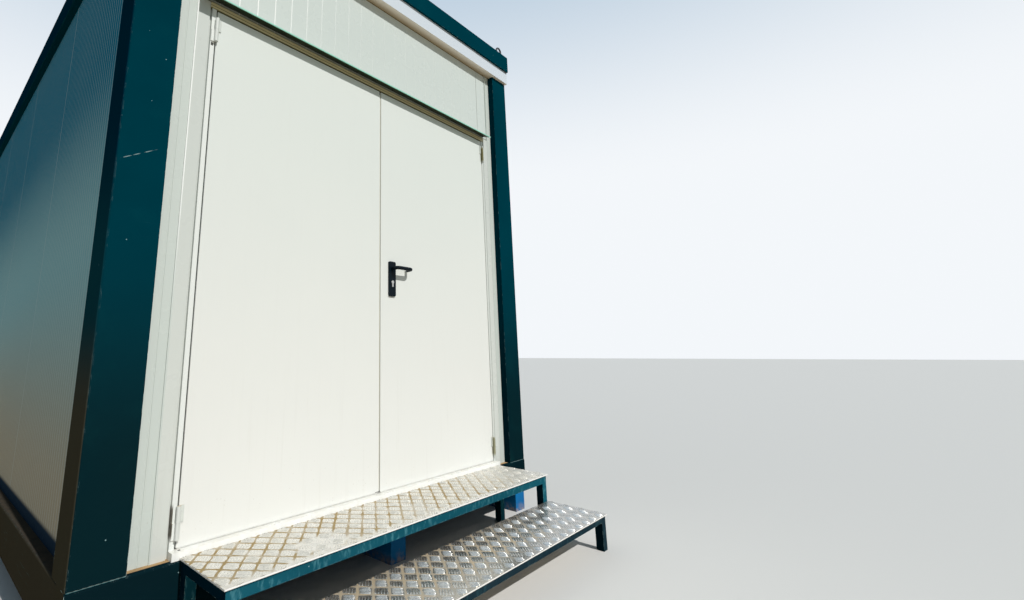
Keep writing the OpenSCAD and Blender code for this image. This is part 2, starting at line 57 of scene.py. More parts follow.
class Nodes:
    """A node tree, with short calls for the nodes that the materials and the light share."""

    def __init__(self, tree):
        self.tree = tree
        self.tree.nodes.clear()

    def add(self, kind, **props):
        node = self.tree.nodes.new(kind)
        for key, value in props.items():
            setattr(node, key, value)
        return node

    def link(self, out, socket):
        self.tree.links.new(out, socket)

    def put(self, socket, value):
        """Link the socket to another node's output, or give it a plain value."""
        if isinstance(value, bpy.types.NodeSocket):
            self.link(value, socket)
        else:
            socket.default_value = value

    def math(self, op, a, b=0.0, clamp=False):
        node = self.add("ShaderNodeMath", operation=op, use_clamp=clamp)
        for socket, value in zip(node.inputs, (a, b)):
            self.put(socket, value)
        return node.outputs[0]

    def plus(self, a, b, clamp=False):
        return self.math("ADD", a, b, clamp)

    def minus(self, a, b):
        return self.math("SUBTRACT", a, b)

    def over(self, a, b):
        return self.math("DIVIDE", a, b)

    def times(self, first, *others):
        for other in others:
            first = self.math("MULTIPLY", first, other)
        return first

    def off(self, value, middle):
        """How far the value lies from the middle."""
        return self.math("ABSOLUTE", self.minus(value, middle))

    def off_whole(self, value):
        """How far the value lies from the nearest whole number."""
        return self.off(self.math("FRACT", self.plus(value, 0.5)), 0.5)

    def step(self, value, low, high, to_low=0.0, to_high=1.0):
        """A smooth run from to_low to to_high, as the value goes from low to high."""
        node = self.add("ShaderNodeMapRange", interpolation_type="SMOOTHSTEP")
        for name, v in zip(("Value", "From Min", "From Max", "To Min", "To Max"),
                           (value, low, high, to_low, to_high)):
            self.put(node.inputs[name], v)
        return node.outputs["Result"]

    def near(self, value, middle, half):
        """1 where the value lies within half of the middle."""
        return self.step(self.off(value, middle), half, half * 0.6)

    def within(self, value, low, high):
        """1 where the value lies between low and high."""
        return self.near(value, (low + high) / 2, (high - low) / 2)

    def mix(self, share, a, b):
        """Colour a where the share is 0 and colour b where it is 1."""
        node = self.add("ShaderNodeMix", data_type="RGBA", clamp_factor=True)
        self.put(node.inputs["Factor"], share)
        for name, colour in (("A", a), ("B", b)):
            linked = isinstance(colour, bpy.types.NodeSocket)
            self.put(node.inputs[name], colour if linked else (*colour, 1))
        return node.outputs["Result"]

    def split(self, vector):
        """The three parts of a vector."""
        node = self.add("ShaderNodeSeparateXYZ")
        self.link(vector, node.inputs[0])
        return node.outputs


class Surface(Nodes):
    """A material with one Principled shader, coloured by its place on the object."""

    def __init__(self, name):
        self.material = bpy.data.materials.new(name)
        self.material.use_nodes = True
        super().__init__(self.material.node_tree)
        out = self.add("ShaderNodeOutputMaterial")
        self.bsdf = self.add("ShaderNodeBsdfPrincipled")
        self.link(self.bsdf.outputs[0], out.inputs["Surface"])
        self.place = self.add("ShaderNodeTexCoord").outputs["Object"]

    def set(self, **values):
        for key, value in values.items():
            self.put(self.bsdf.inputs[key.replace("_", " ")], value)

    def mapped(self, scale=(1, 1, 1), turn=(0, 0, 0), move=(0, 0, 0)):
        node = self.add("ShaderNodeMapping")
        self.link(self.place, node.inputs["Vector"])
        node.inputs["Scale"].default_value = scale
        node.inputs["Rotation"].default_value = turn
        node.inputs["Location"].default_value = move
        return node.outputs[0]

    def noise(self, scale, detail, rough, at=None):
        node = self.add("ShaderNodeTexNoise")
        self.link(self.place if at is None else at, node.inputs["Vector"])
        node.inputs["Scale"].default_value = scale
        node.inputs["Detail"].default_value = detail
        node.inputs["Roughness"].default_value = rough
        return node.outputs["Fac"]

    def cells(self, scale, out="Distance"):
        node = self.add("ShaderNodeTexVoronoi")
        self.link(self.place, node.inputs["Vector"])
        node.inputs["Scale"].default_value = scale
        return node.outputs[out]

    def normal(self):
        """The three parts of a face's true direction."""
        return self.split(self.add("ShaderNodeNewGeometry").outputs["True Normal"])

    def up(self, low=0.6, high=0.9):
        """1 on faces that look up."""
        return self.step(self.normal()[2], low, high)

    def sideways(self):
        """1 on faces that look left or right."""
        return self.step(self.math("ABSOLUTE", self.normal()[0]), 0.6, 0.9)

    def outward(self, x):
        """Over 0 on faces that look away from the cabin's middle, under 0 on those that face it."""
        return self.times(self.normal()[0], x)

    def edges(self):
        """1 along sharp edges: there the rounded direction differs from the face's own."""
        bevel = self.add("ShaderNodeBevel", samples=6)
        bevel.inputs["Radius"].default_value = 0.003
        same = self.add("ShaderNodeVectorMath", operation="DOT_PRODUCT")
        self.link(bevel.outputs[0], same.inputs[0])
        self.link(self.add("ShaderNodeNewGeometry").outputs["Normal"], same.inputs[1])
        return self.step(same.outputs["Value"], 0.995, 0.90)

    def specks(self, scale, size, share):
        """Sparse round specks: one in some of the cells."""
        close = self.math("LESS_THAN", self.cells(scale), size)
        pick = self.split(self.cells(scale, out="Color"))[0]
        return self.times(close, self.math("LESS_THAN", pick, share))

    def scratches(self, turn, share=0.74):
        """Short thin lines in one direction, in a few places."""
        lines = self.noise(3.0, 1.0, 0.5, self.mapped(scale=(2.2, 2.2, 160), turn=turn))
        places = self.noise(2.6, 2.0, 0.5, self.mapped(move=(3.1, 1.7, 5.3)))
        return self.times(self.step(lines, share, share + 0.02), self.step(places, 0.58, 0.66))

    def bumped(self, height, strength, distance, round_edges=0.0):
        node = self.add("ShaderNodeBump")
        node.inputs["Strength"].default_value = strength
        node.inputs["Distance"].default_value = distance
        self.put(node.inputs["Height"], height)
        if round_edges:
            bevel = self.add("ShaderNodeBevel", samples=4)
            bevel.inputs["Radius"].default_value = round_edges
            self.link(bevel.outputs[0], node.inputs["Normal"])
        self.link(node.outputs[0], self.bsdf.inputs["Normal"])


# Frame paint

DUST = (0.50, 0.33, 0.17)
FRAME_TEAL = (0.0, 0.040, 0.060)
# The frames' darker foot colour is painted reflection
FRAME_FOOT_REFLECTION = (0.003, 0.017, 0.022)
TEAL_CLOUD = (0.0, 0.016, 0.026)
TEAL_FILM = (0.01, 0.15, 0.15)
TEAL_STREAK_REFLECTION = (0.09, 0.27, 0.32)
TEAL_SCRATCH = (0.10, 0.25, 0.28)
TEAL_CHIP = (0.30, 0.48, 0.50)
TEAL_GASH = (0.42, 0.58, 0.58)
TEAL_RUBBED = (0.46, 0.62, 0.62)
# Painted light on the flanks of posts and rails: painted reflections on the outer flanks from the
# foot up, and painted shade on those that face the other side
FLANK_LOW_REFLECTION = (0.115, 0.088, 0.048)
FLANK_MIDDLE_REFLECTION = (0.008, 0.060, 0.080)
FLANK_HIGH_REFLECTION = (0.0, 0.012, 0.045)
FLANK_INWARD_SHADE = (0.0, 0.012, 0.022)
# Heights between which the paint goes from its foot's colour, a painted reflection, to its own,
# and the outer flanks' painted reflections from low to middle and from middle to high
FOOT_RUN = (0.55, 1.45)
FLANK_LOW_RUN = (0.75, 1.10)
FLANK_HIGH_RUN = (1.25, 1.75)
# How much of the paint each layer covers where it lies
FILM_COVERS = 0.05
SCRATCHES_COVER = 0.30
CHIPS_COVER = 0.75
GASH_COVERS = 0.5
# Half the width of the light scratch across the left post
GASH_HALF_WIDTH = 0.0019
# How near the cabin's two ends the base rails' tops are free of dust
CLEAN_END = (0.014, 0.020)


def gash_mark(t, ends):
    """One broken light scratch between two points of the front post's face."""
    (x0, z0), (x1, z1) = ends
    x, y, z = t.split(t.place)
    run = t.over(t.minus(x, x0), x1 - x0)
    line = t.plus(z0, t.times(run, z1 - z0))
    broken = t.step(t.noise(60, 3.0, 0.7), 0.42, 0.60)
    front = t.step(y, FRONT_Y + 0.01, FRONT_Y + 0.005)
    return t.times(t.near(z, line, GASH_HALF_WIDTH), t.near(run, 0.5, 0.55), broken, front)


def teal_paint(name, base=FRAME_TEAL, foot=None, wear=0.5, dust=0.8, side=0.5, reflection_streaks=0.0,
               gash=None, low_flank_light=FLANK_LOW_REFLECTION, inner_dust=False):
    """Sprayed frame paint: darker towards the ground as painted reflection, rubbed edges, chips,
    scratches and dust.
    side = how far the flanks take their painted light: reflections outside, shade on inward faces;
    strokes = how far lighter streaks of painted reflection show;
    inner_dust = dust on ledges only, not on the outermost strip of the cabin's two ends."""
    t = Surface(name)
    x, y, z = t.split(t.place)
    # Darker towards the ground: painted reflection
    paint = t.mix(t.step(z, *FOOT_RUN), foot or base, base)
    clouds = t.step(t.noise(1.3, 4.0, 0.55), 0.35, 0.68, 0.0, 0.30)
    paint = t.mix(clouds, paint, TEAL_CLOUD)
    film = t.times(t.step(t.noise(6.0, 5.0, 0.6), 0.48, 0.8), FILM_COVERS)
    colour = t.mix(film, paint, TEAL_FILM)
    # Lighter slanted streaks: painted reflection of the tread's bars
    if reflection_streaks:
        streak_noise = t.noise(5.0, 3.0, 0.6, t.mapped(scale=(14, 3, 5), turn=(0, 0.6, 0)))
        colour = t.mix(t.times(t.step(streak_noise, 0.50, 0.72), reflection_streaks), colour, TEAL_STREAK_REFLECTION)

    # The flanks take painted light: reflections of ground and sky outside, shade on inward faces
    flank_light = t.mix(t.step(z, *FLANK_HIGH_RUN), FLANK_MIDDLE_REFLECTION, FLANK_HIGH_REFLECTION)
    flank_light = t.mix(t.step(z, *FLANK_LOW_RUN), low_flank_light, flank_light)
    flank_light = t.mix(t.step(t.outward(x), -0.1, 0.3), FLANK_INWARD_SHADE, flank_light)
    colour = t.mix(t.times(t.sideways(), side), colour, flank_light)

    marks = t.plus(t.scratches((0.2, 0.25, 0.4)), t.scratches((1.3, -0.2, 0.9)), clamp=True)
    colour = t.mix(t.times(marks, SCRATCHES_COVER), colour, TEAL_SCRATCH)
    chips = t.plus(t.specks(9.0, 0.016, 0.40), t.specks(31.0, 0.060, 0.10), clamp=True)
    colour = t.mix(t.times(chips, CHIPS_COVER), colour, TEAL_CHIP)
    if gash:
        colour = t.mix(t.times(gash_mark(t, gash), GASH_COVERS), colour, TEAL_GASH)
    rubbed = t.times(t.edges(), t.step(t.noise(38, 4.0, 0.7), 0.52, 0.60))
    colour = t.mix(t.times(rubbed, wear), colour, TEAL_RUBBED)

    lying = t.times(t.up(), t.step(t.noise(14, 4.0, 0.7), 0.25, 0.6, 0.6, 1.0))
    if inner_dust:
        clean, dusty = (HALF_LENGTH - edge for edge in CLEAN_END)
        lying = t.times(lying, t.step(t.off(y, MIDDLE_Y), clean, dusty))
    colour = t.mix(t.times(lying, dust), colour, DUST)
    fine = t.noise(55, 3.0, 0.6)
    rough = t.plus(t.step(fine, 0.3, 0.8, 0.22, 0.36), t.times(lying, 0.4))
    t.set(Base_Color=colour, Roughness=rough, Specular_IOR_Level=0.0)
    t.bumped(t.plus(t.noise(5.0, 2.0, 0.5), t.times(fine, 0.05)), 0.18, 0.004, 0.0022)
    return t.material


# White paint

WHITE = (0.594, 0.644, 0.608)
WHITE_CLOUD = (0.42, 0.50, 0.52)
WHITE_RUN = (0.40, 0.37, 0.30)
WHITE_SPLASH = (0.34, 0.29, 0.21)
WHITE_SCUFF = (0.42, 0.44, 0.42)
# The colour of painted highlights
WHITE_PAINTED_HIGHLIGHT = (0.92, 0.94, 0.92)
LEDGE_DUST = (0.50, 0.41, 0.27)
WALL_INSIDE = (0.66, 0.68, 0.65)
# Heights between which the paint goes from its foot's colour to its own; a long wall does so by
# way of its middle colour. These runs are painted light: reflections of ground and sky on a long
# wall, light thrown up from the treads at a door's foot
WHITE_FOOT_RUN = (0.45, 2.25)
WALL_LOW_RUN = (0.40, 1.35)
WALL_HIGH_RUN = (1.35, 2.25)
# Heights between which the runs of dirt grow from faint, and the splashes from none
SOIL_RUN = (1.10, 0.28)
SPLASH_RUN = (0.70, 0.30)
SPLASH_COVERS = 0.25
# An end trim's underside goes from its darker painted shade near the wall to its outer colour, from
# inside to outside the posts' faces
SOFFIT_RUN = (-0.040, 0.018)


def shining_lines(t, first, half, from_z, strength, pitch=4.0, near=1.0, far=1.5):
    """Painted highlights: fine light upright lines at every pitch from the first x on. They fade to
    a
    trace from x near to x far, and out downwards to from_z. The usual pitch is wider than the
    cabin:
    one line shows."""
    x, y, z = t.split(t.place)
    width = half / pitch
    line = t.step(t.off_whole(t.over(t.minus(x, first), pitch)), width, 0.5 * width)
    along = t.step(x, near, far, strength, strength * 0.14)
    return t.times(line, along, t.step(z, from_z, from_z + 0.7))


def white_paint(name, base=WHITE, foot=None, middle=None, rough=0.24, waves=0.18, dirt=0.10,
                radius=0.0012, gloss=0.3, shine=None, soffit=None, bands=(), scuffs=0.08,
                marks=(), flanks=None, dust=0.7):
    """Coated sheet: slight waves, faint runs and splashes, dust on ledges.
    foot = a colour at the foot, painted light: light thrown up from the treads on a door, and
    reflection of the ground on a long wall;
    middle = the colour of a long wall half way up, a painted reflection, whose inside is plain;
    shine = what shining_lines() takes, painted highlights; bands = level bands, (low z, high z,
    colour), of painted shade and painted highlights;
    soffit = the colours of an end trim's underside, near the wall and at its outer edge, painted
    shade;
    marks = spots on the front only, (low x, high x, low z, high z, colour);
    flanks = the painted highlight colour that the sides of a long wall's grooves lean to."""
    t = Surface(name)
    x, y, z = t.split(t.place)
    # Painted light: a long wall's foot, middle and top colours are reflections of ground and sky; a
    # door's lighter foot is light thrown up from the treads
    if middle:
        paint = t.mix(t.step(z, *WALL_LOW_RUN), foot, middle)
        paint = t.mix(t.step(z, *WALL_HIGH_RUN), paint, base)
        outward = t.outward(x)
        paint = t.mix(t.step(outward, -0.2, -0.8), paint, WALL_INSIDE)
    else:
        paint = t.mix(t.step(z, *WHITE_FOOT_RUN), foot or base, base)
    clouds = t.step(t.noise(0.9, 3.0, 0.5), 0.3, 0.7, 0.0, 0.05)
    colour = t.mix(clouds, paint, WHITE_CLOUD)

    runs = t.step(t.noise(3.0, 5.0, 0.65, t.mapped(scale=(18, 18, 0.9))), 0.52, 0.78)
    soil = t.times(runs, t.plus(t.times(t.step(z, *SOIL_RUN), 0.9), 0.25))
    colour = t.mix(t.times(soil, dirt), colour, WHITE_RUN)
    splash = t.times(t.specks(70, 0.14, 0.16), t.step(z, *SPLASH_RUN))
    colour = t.mix(t.times(splash, SPLASH_COVERS), colour, WHITE_SPLASH)
    scuff = t.times(t.scratches((0.1, 0.15, 0.2), 0.76), scuffs)
    colour = t.mix(scuff, colour, WHITE_SCUFF)

    # Painted highlight lines
    if shine:
        colour = t.mix(shining_lines(t, **shine), colour, WHITE_PAINTED_HIGHLIGHT)
    # An underside's painted shade, darker near the wall
    if soffit:
        to_edge = t.step(t.off(y, MIDDLE_Y), *(HALF_LENGTH + edge for edge in SOFFIT_RUN))
        below = t.mix(to_edge, *soffit)
        colour = t.mix(t.step(t.normal()[2], -0.5, -0.8), colour, below)
    # Painted highlights on the sides of the grooves
    if flanks:
        lean = t.step(t.math("ABSOLUTE", t.normal()[1]), 0.3, 0.5, 0.0, 0.45)
        colour = t.mix(lean, colour, flanks)
    # Level bands of painted shade and painted highlights
    for low_z, high_z, shade in bands:
        share = t.within(z, low_z, high_z)
        if middle:
            share = t.times(share, t.step(outward, 0.0, 0.5))
        colour = t.mix(share, colour, shade)
    # Spots on the front; the ones beside the hinges are painted shadows
    for low_x, high_x, low_z, high_z, shade in marks:
        spot = t.times(t.within(x, low_x, high_x), t.within(z, low_z, high_z),
                       t.step(y, 0.0, -0.1))
        colour = t.mix(spot, colour, shade)

    lying = t.times(t.up(), t.step(t.noise(17, 4.0, 0.7), 0.3, 0.62, dust * 0.2, dust))
    colour = t.mix(lying, colour, LEDGE_DUST)
    t.set(Base_Color=colour, Specular_IOR_Level=gloss,
          Roughness=t.step(t.noise(8, 3.0, 0.6), 0.3, 0.75, rough, rough + 0.06))
    t.bumped(t.noise(1.6, 2.0, 0.4), waves, 0.012, radius)
    return t.material


# Tread plate

# Half a cell of the five-bar plate's lattice, whose cells stand on their corners
CELL_X = 0.036
CELL_Y = 0.041
PLATE_DARK = (0.68, 0.665, 0.62)
PLATE_LIGHT = (0.84, 0.81, 0.76)
PLATE_HAZE = (0.66, 0.60, 0.48)
PLATE_GRAIN = (0.95, 0.94, 0.90)
# A painted highlight on the plate's edges
PLATE_EDGE_HIGHLIGHT = (0.92, 0.90, 0.88)
# Painted shade on the bars' flanks
BAR_FLANK_SHADE = (0.30, 0.26, 0.18)
BAR_HAZE = (0.72, 0.67, 0.55)


def lattice_lines(t, origin, wobble):
    """1 along the lattice's two sets of lines, wider where they cross."""
    x, y, z = t.split(t.place)
    u = t.over(t.minus(x, origin[0]), 2 * CELL_X)
    v = t.over(t.minus(y, origin[1]), 2 * CELL_Y)
    rising = t.off_whole(t.plus(t.plus(u, v), wobble))
    falling = t.off_whole(t.plus(t.minus(u, v), wobble))
    width = t.step(t.noise(16, 3.0, 0.6), 0.3, 0.7, 0.07, 0.18)
    nearest = t.over(t.math("MINIMUM", rising, falling), width)
    line = t.minus(1.0, t.step(nearest, 0.35, 1.0))
    knot = t.minus(1.0, t.step(t.math("MAXIMUM", rising, falling), 0.09, 0.20))
    return t.math("MAXIMUM", line, t.times(knot, 0.9))


def dirt_left(t, wobble, right, gone_x, front, gone_y, bare_x, bare_y, bare_r):
    """How much of the dirt is left: patchy, and worn off where people step. It thins out from
    x right to x gone_x and from y front to y gone_y, and round one bare patch."""
    x, y, z = t.split(t.place)
    patchy = t.step(t.noise(3.1, 3.0, 0.55, t.mapped(move=(0.37, 0.2, 0))), 0.34, 0.46, 0.72, 1.0)
    spotty = t.step(t.noise(15, 2.0, 0.5), 0.34, 0.54, 0.62, 1.0)
    to_right = t.step(x, gone_x, right, 0.10, 1.0)
    to_front = t.step(t.plus(y, t.times(wobble, 0.6)), gone_y, front, 0.10, 1.0)
    across = t.math("POWER", t.over(t.minus(x, bare_x), bare_r * 1.5), 2.0)
    along = t.math("POWER", t.over(t.minus(y, bare_y), bare_r), 2.0)
    bare = t.plus(t.plus(across, along), t.times(wobble, 9.0))
    return t.times(patchy, to_right, to_front, t.step(bare, 0.35, 1.3), spotty)


def tread_metal(name, origin, dirt, steel, film=0.45, rough=0.30, soil=(0.30, 0.205, 0.070),
                depth=0.97, plate=1.0):
    """Worn plate with dirt along the lattice between the groups of bars.
    dirt = what dirt_left() takes; steel = how metallic the plate is where clean; film = how much
    haze lies on it; soil = the dirt's colour; depth = how far the dirt covers; plate = how light
    the plate is, darker on the lower tread as painted reflection of the dark space under the upper
    step."""
    t = Surface(name)
    face = t.up(0.9, 0.99)
    wobble = t.times(t.minus(t.noise(38, 2.0, 0.5), 0.5), 0.17)
    dirty = t.times(lattice_lines(t, origin, wobble), dirt_left(t, wobble, **dirt), face)

    dark, light = (tuple(c * plate for c in tone) for tone in (PLATE_DARK, PLATE_LIGHT))
    metal = t.mix(t.step(t.noise(30, 4.0, 0.65), 0.3, 0.75), dark, light)
    haze = t.times(t.step(t.noise(7, 4.0, 0.6), 0.42, 0.7), film)
    colour = t.mix(haze, metal, PLATE_HAZE)
    grain = t.noise(3.0, 3.0, 0.6, t.mapped(scale=(8, 220, 8), turn=(0, 0, 0.5)))
    colour = t.mix(t.times(t.step(grain, 0.55, 0.7), 0.30), colour, PLATE_GRAIN)
    colour = t.mix(t.times(dirty, depth), colour, soil)
    # Painted highlight on the plate's edges
    colour = t.mix(t.minus(1.0, face), colour, PLATE_EDGE_HIGHLIGHT)

    clean = t.minus(1.0, t.plus(t.times(haze, 0.9), dirty, clamp=True))
    dull = t.step(t.noise(45, 3.0, 0.6), 0.3, 0.7, rough, rough + 0.14)
    t.set(Base_Color=colour, Metallic=t.times(clean, steel, face),
          Roughness=t.plus(dull, t.times(dirty, 0.4)))
    t.bumped(t.plus(t.noise(90, 3.0, 0.6), t.times(dirty, 0.6)), 0.20, 0.002, 0.0012)
    return t.material


def bar_metal(name, steel, top, film=0.35):
    """The raised bars: polished on top, with painted shade down their flanks."""
    t = Surface(name)
    bright = t.mix(t.step(t.noise(26, 4.0, 0.65), 0.3, 0.7), tuple(c * 0.80 for c in top), top)
    colour = t.mix(t.up(0.35, 0.8), BAR_FLANK_SHADE, bright)
    haze = t.times(t.step(t.noise(6, 4.0, 0.6), 0.45, 0.72), film)
    colour = t.mix(haze, colour, BAR_HAZE)
    t.set(Base_Color=colour, Metallic=t.step(haze, 0.0, 0.35, steel, steel * 0.5),
          Roughness=t.step(t.noise(60, 3.0, 0.6), 0.3, 0.7, 0.18, 0.34))
    t.bumped(t.noise(140, 3.0, 0.6), 0.12, 0.001)
    return t.material


# Other materials

def black_polymer(name):
    """Dark grained plastic with a trace of dust."""
    t = Surface(name)
    grain = t.noise(420, 2.0, 0.5)
    shade = t.step(t.noise(40, 4.0, 0.6), 0.4, 0.8)
    colour = t.mix(shade, (0.001, 0.005, 0.009), (0.003, 0.009, 0.015))
    colour = t.mix(t.times(t.up(0.5, 0.95), 0.05), colour, (0.20, 0.18, 0.14))
    t.set(Base_Color=colour, Roughness=t.step(grain, 0.3, 0.7, 0.30, 0.42),
          Specular_IOR_Level=0.10)
    t.bumped(grain, 0.12, 0.0006, 0.0012)
    return t.material


def satin_metal(name, base, rough, metallic=1.0):
    """Brushed metal, with its grain running level."""
    t = Surface(name)
    grain = t.noise(18, 3.0, 0.6, t.mapped(scale=(1, 1, 60)))
    dark = tuple(c * 0.75 for c in base)
    t.set(Base_Color=t.mix(t.step(grain, 0.3, 0.7), dark, base), Metallic=metallic,
          Roughness=t.step(grain, 0.3, 0.7, rough, rough + 0.14))
    t.bumped(grain, 0.10, 0.0006, 0.0008)
    return t.material


def zinc(name, base, rust):
    """Galvanised sheet with its spangle, white bloom and a little rust."""
    t = Surface(name)
    spangle = t.split(t.cells(38, out="Color"))[0]
    colour = t.mix(spangle, tuple(c * 0.82 for c in base), base)
    bloom = t.step(t.noise(4.5, 5.0, 0.65), 0.5, 0.75)
    colour = t.mix(t.times(bloom, 0.5), colour, (0.62, 0.62, 0.60))
    spots = t.times(t.step(t.noise(21, 5.0, 0.7), 0.66, 0.74), rust)
    colour = t.mix(spots, colour, (0.22, 0.085, 0.03))
    t.set(Base_Color=colour, Metallic=0.55, Roughness=t.step(bloom, 0.0, 1.0, 0.38, 0.62))
    t.bumped(t.noise(12, 3.0, 0.6), 0.15, 0.003, 0.001)
    return t.material


def blue_paint(name):
    """The support blocks' paint: dusty at the ground, with dark nicks."""
    t = Surface(name)
    broad = t.noise(5, 4.0, 0.6)
    colour = t.mix(t.step(broad, 0.3, 0.7), (0.0, 0.115, 0.33), (0.0, 0.165, 0.43))
    low = t.step(t.split(t.place)[2], 0.055, 0.0)
    dusty = t.times(low, t.step(t.noise(28, 4.0, 0.7), 0.35, 0.65))
    colour = t.mix(t.times(dusty, 0.6), colour, DUST)
    colour = t.mix(t.times(t.specks(26, 0.07, 0.3), 0.7), colour, (0.22, 0.20, 0.18))
    t.set(Base_Color=colour, Roughness=t.step(broad, 0.3, 0.7, 0.42, 0.6),
          Specular_IOR_Level=0.1)
    t.bumped(t.noise(60, 4.0, 0.6), 0.2, 0.002, 0.003)
    return t.material


BOARD_PITCH = 1.25


def floor_wood(name):
    """Sealed brown floor board: long fine grain, the joints between boards, and scuffs."""
    t = Surface(name)
    grain = t.noise(4.0, 6.0, 0.65, t.mapped(scale=(26, 1.6, 26)))
    colour = t.mix(t.step(grain, 0.3, 0.72), (0.13, 0.075, 0.040), (0.30, 0.19, 0.11))
    y = t.split(t.place)[1]
    joint = t.off(t.math("FRACT", t.over(y, BOARD_PITCH)), 0.5)
    colour = t.mix(t.math("LESS_THAN", joint, 0.0016), colour, (0.03, 0.02, 0.015))
    scuff = t.times(t.step(t.noise(9, 5.0, 0.7), 0.55, 0.75), 0.35)
    colour = t.mix(scuff, colour, (0.36, 0.30, 0.23))
    t.set(Base_Color=colour, Roughness=t.step(grain, 0.3, 0.7, 0.35, 0.55))
    t.bumped(grain, 0.15, 0.001)
    return t.material


def rubber(name, shade):
    """Matt rubber, a little uneven in tone."""
    t = Surface(name)
    fine = t.noise(300, 2.0, 0.5)
    light = tuple(c * 1.5 for c in shade)
    t.set(Base_Color=t.mix(t.noise(30, 3.0, 0.6), shade, light), Specular_IOR_Level=0.2,
          Roughness=t.step(fine, 0.3, 0.7, 0.55, 0.75))
    t.bumped(fine, 0.2, 0.0005)
    return t.material


# The materials in use. A light scratch runs across the left front post: (x, z) of its two ends
GASH = ((-1.204, 1.600), (-1.094, 1.662))
# Painted shade on the steps' low flanks
STEP_FLANK_SHADE = (0.0, 0.010, 0.022)

TEAL = teal_paint("teal_paint", foot=FRAME_FOOT_REFLECTION, wear=0.3, dust=0.25)
GASHED = teal_paint("left_post_paint", foot=FRAME_FOOT_REFLECTION, wear=0.8, gash=GASH)
RAIL = teal_paint("base_rail_paint", (0.003, 0.014, 0.019), wear=0.8, dust=0.95, inner_dust=True)
SIDE_RAIL = teal_paint("side_rail_paint", (0.002, 0.012, 0.020), wear=0.6, dust=0.12)
# The steps take lighter streaks of painted reflection, and painted shade on their flanks
UPPER_STEP = teal_paint("upper_step_paint", (0.010, 0.095, 0.135), side=0.92, reflection_streaks=0.55,
                        low_flank_light=STEP_FLANK_SHADE)
LOWER_STEP = teal_paint("lower_step_paint", (0.016, 0.034, 0.048), side=0.92, reflection_streaks=0.12,
                        low_flank_light=STEP_FLANK_SHADE)
WELD_PAINT = teal_paint("weld_paint", (0.02, 0.11, 0.14), wear=1.0)

# Painted shadow in the slits beside the right hinges, on the leaf and the frame alike
HINGE_SHADOW_MARKS = [(0.9222, 0.9358, 2.184, 2.306, (0.17, 0.155, 0.065)),
               (0.9205, 0.9360, 0.338, 0.460, (0.30, 0.29, 0.19))]

PANEL = white_paint("panel_paint")
# A painted highlight along the strip's bead
STRIP = white_paint("strip_paint",
                    shine=dict(first=-0.983, half=0.0035, from_z=1.0, strength=1.0))
# Painted highlights on the groove lines; painted shade on the wall under the flashing and a painted
# dark line in the corner under the fascia; a grey joint line at the right
OVER_DOOR = white_paint("over_door_paint", (0.605, 0.662, 0.636), waves=0.07, dirt=0.03,
                        shine=dict(first=-0.9805, half=0.0030, from_z=1.0, strength=1.0,
                                   pitch=0.0855, near=-0.75, far=-0.30),
                        bands=[(2.30, 2.389, (0.13, 0.115, 0.055)),
                               (2.8575, 2.8665, (0.17, 0.12, 0.055))],
                        marks=[(0.9078, 0.9122, 2.40, 2.86, (0.34, 0.37, 0.34))], scuffs=0.0)
# The side walls' colours are painted reflection: sky blue at the top, lighter half way, ground
# brown at the foot; a painted shade band above the base rail; painted highlights on the groove
# sides
SIDE_PANEL = white_paint("side_panel_paint", (0.004, 0.190, 0.320), foot=(0.49, 0.43, 0.325),
                         middle=(0.29, 0.56, 0.63), rough=0.25, waves=0.20, gloss=0.0,
                         bands=[(0.230, 0.350, (0.02, 0.04, 0.07))],
                         flanks=(0.74, 0.84, 0.88))
# The fascia's underside is painted shade, darker near the wall
TRIM = white_paint("trim_paint", (0.64, 0.70, 0.77), rough=0.22, waves=0.10,
                   soffit=((0.42, 0.33, 0.21), (0.86, 0.79, 0.71)))
# The flashing's underside is painted shade; its lip's aqua band is a painted highlight
FLASHING = white_paint("flashing_paint", (0.56, 0.63, 0.60), rough=0.3, waves=0.05,
                       soffit=((0.012, 0.016, 0.008), (0.012, 0.034, 0.014)),
                       bands=[(2.3590, 2.3690, (0.34, 0.70, 0.58))])
# The leaves grow lighter towards the foot, painted light thrown up from the treads; painted shadows
# beside the right hinges
LEAF = white_paint("leaf_paint", (0.725, 0.765, 0.735), foot=(0.805, 0.805, 0.775), rough=0.20,
                   waves=0.14, dirt=0.08, radius=0.0015,
                   marks=HINGE_SHADOW_MARKS + [
                       (0.0040, 0.0110, 2.3180, 2.3420, (0.12, 0.15, 0.17)),
                       (-0.0160, 0.0200, 0.3165, 0.3205, (0.10, 0.10, 0.09))])
SILL = white_paint("sill_paint", (0.90, 0.90, 0.87), rough=0.26, waves=0.05, dust=0.25)
# The frame grows lighter towards the foot, painted light thrown up from the treads; a painted
# highlight along the jamb's bead; painted shadows beside the hinges and under the upper left one
DOOR_FRAME = white_paint("door_frame_paint", (0.60, 0.635, 0.605), foot=(0.65, 0.675, 0.64),
                         rough=0.26, waves=0.05, radius=0.0010,
                         shine=dict(first=-0.9175, half=0.0115, from_z=-1.0, strength=0.55),
                         marks=HINGE_SHADOW_MARKS + [
                             (-0.9285, -0.9210, 0.338, 0.460, (0.10, 0.09, 0.07)),
                             (-0.9240, -0.9120, 2.176, 2.194, (0.04, 0.04, 0.03))])
# The head's olive colour is painted shade under the flashing; its two dark lines are painted shade
# in its groove and in the gap above the leaves
HEAD = white_paint("door_head_paint", (0.66, 0.59, 0.36), rough=0.4, waves=0.05,
                   bands=[(2.3430, 2.3490, (0.17, 0.15, 0.07)),
                          (2.3570, 2.3605, (0.20, 0.17, 0.08))])
INSIDE = white_paint("ceiling_board", (0.72, 0.73, 0.71), rough=0.4, waves=0.1, dirt=0.03)

